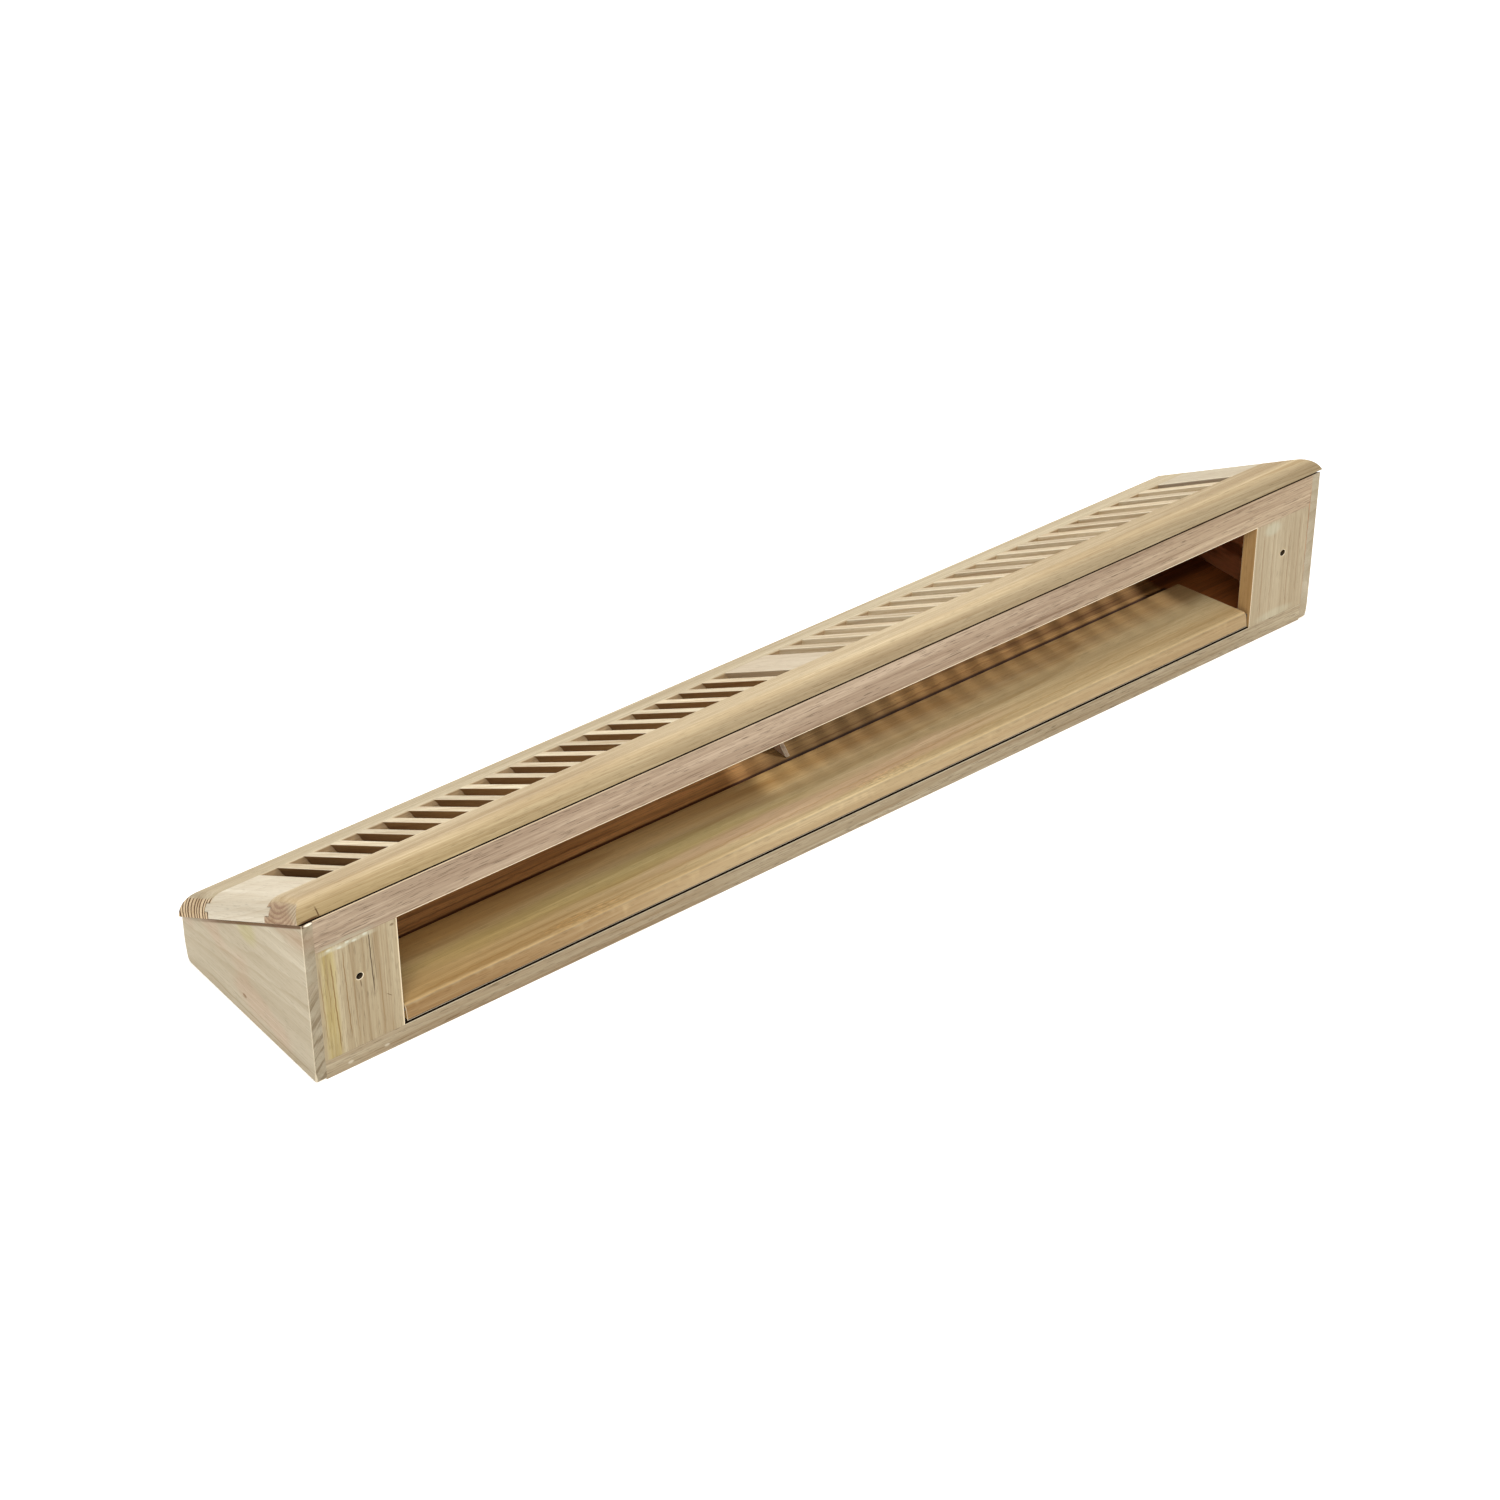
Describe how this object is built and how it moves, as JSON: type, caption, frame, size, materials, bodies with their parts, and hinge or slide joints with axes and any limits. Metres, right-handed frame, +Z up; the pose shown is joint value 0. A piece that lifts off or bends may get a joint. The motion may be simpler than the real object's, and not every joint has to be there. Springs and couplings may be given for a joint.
{
  "type": "baseboard air register",
  "caption": "Bare wooden baseboard air register: sloping louvred panel on a wedge-shaped box, with an upright air opening and a hinged damper flap.",
  "frame": {"origin": "bottom centre of the bounding box, on the floor plane", "axes": "+X along the length, -Y out of the upright air opening towards the wall, +Z up"},
  "size_m": [0.611, 0.1114, 0.0923],
  "materials": {
    "upper_rail_wood": "sanded bare oak, unfinished",
    "lower_rail_wood": "sanded bare oak, unfinished",
    "cross_bar_wood": "sanded bare oak, unfinished",
    "slat_wood": "sanded bare oak, unfinished",
    "end_cap_wood": "sanded bare oak, unfinished",
    "frame_rail_wood": "sanded bare oak, unfinished",
    "stile_wood": "sanded bare oak, unfinished",
    "inner_board_wood": "sanded bare oak, unfinished",
    "toe_wood": "sanded bare oak, unfinished",
    "gusset_wood": "sanded bare oak, unfinished",
    "flap_wood": "sanded bare oak, unfinished",
    "pin_steel": "drawn steel pin"
  },
  "bodies": {
    "frame": {"grille_upper_rail": "upper_rail_wood", "grille_lower_rail": "lower_rail_wood", "grille_left_end_bar": "cross_bar_wood", "grille_right_end_bar": "cross_bar_wood", "grille_centre_bar": "cross_bar_wood", "left_end_cap": "end_cap_wood", "right_end_cap": "end_cap_wood", "frame_top_rail": "frame_rail_wood", "frame_bottom_rail": "frame_rail_wood", "frame_left_stile": "stile_wood", "frame_right_stile": "stile_wood", "bottom_board": "inner_board_wood", "toe_board": "toe_wood", "centre_gusset": "gusset_wood", "left_slat_01": "slat_wood", "left_slat_02": "slat_wood", "left_slat_03": "slat_wood", "left_slat_04": "slat_wood", "left_slat_05": "slat_wood", "left_slat_06": "slat_wood", "left_slat_07": "slat_wood", "left_slat_08": "slat_wood", "left_slat_09": "slat_wood", "left_slat_10": "slat_wood", "left_slat_11": "slat_wood", "left_slat_12": "slat_wood", "left_slat_13": "slat_wood", "left_slat_14": "slat_wood", "left_slat_15": "slat_wood", "left_slat_16": "slat_wood", "left_slat_17": "slat_wood", "left_slat_18": "slat_wood", "right_slat_01": "slat_wood", "right_slat_02": "slat_wood", "right_slat_03": "slat_wood", "right_slat_04": "slat_wood", "right_slat_05": "slat_wood", "right_slat_06": "slat_wood", "right_slat_07": "slat_wood", "right_slat_08": "slat_wood", "right_slat_09": "slat_wood", "right_slat_10": "slat_wood", "right_slat_11": "slat_wood", "right_slat_12": "slat_wood", "right_slat_13": "slat_wood", "right_slat_14": "slat_wood", "right_slat_15": "slat_wood", "right_slat_16": "slat_wood", "right_slat_17": "slat_wood", "right_slat_18": "slat_wood"},
    "damper": {"damper_flap": "flap_wood", "left_pivot_pin": "pin_steel", "right_pivot_pin": "pin_steel"}
  },
  "joints": [
    {"name": "damper_hinge", "type": "hinge", "parent": "frame", "child": "damper", "pos_m": [0, -0.05259, 0.0161], "axis": [1, 0, 0], "range_deg": [0, 98.2]}
  ]
}
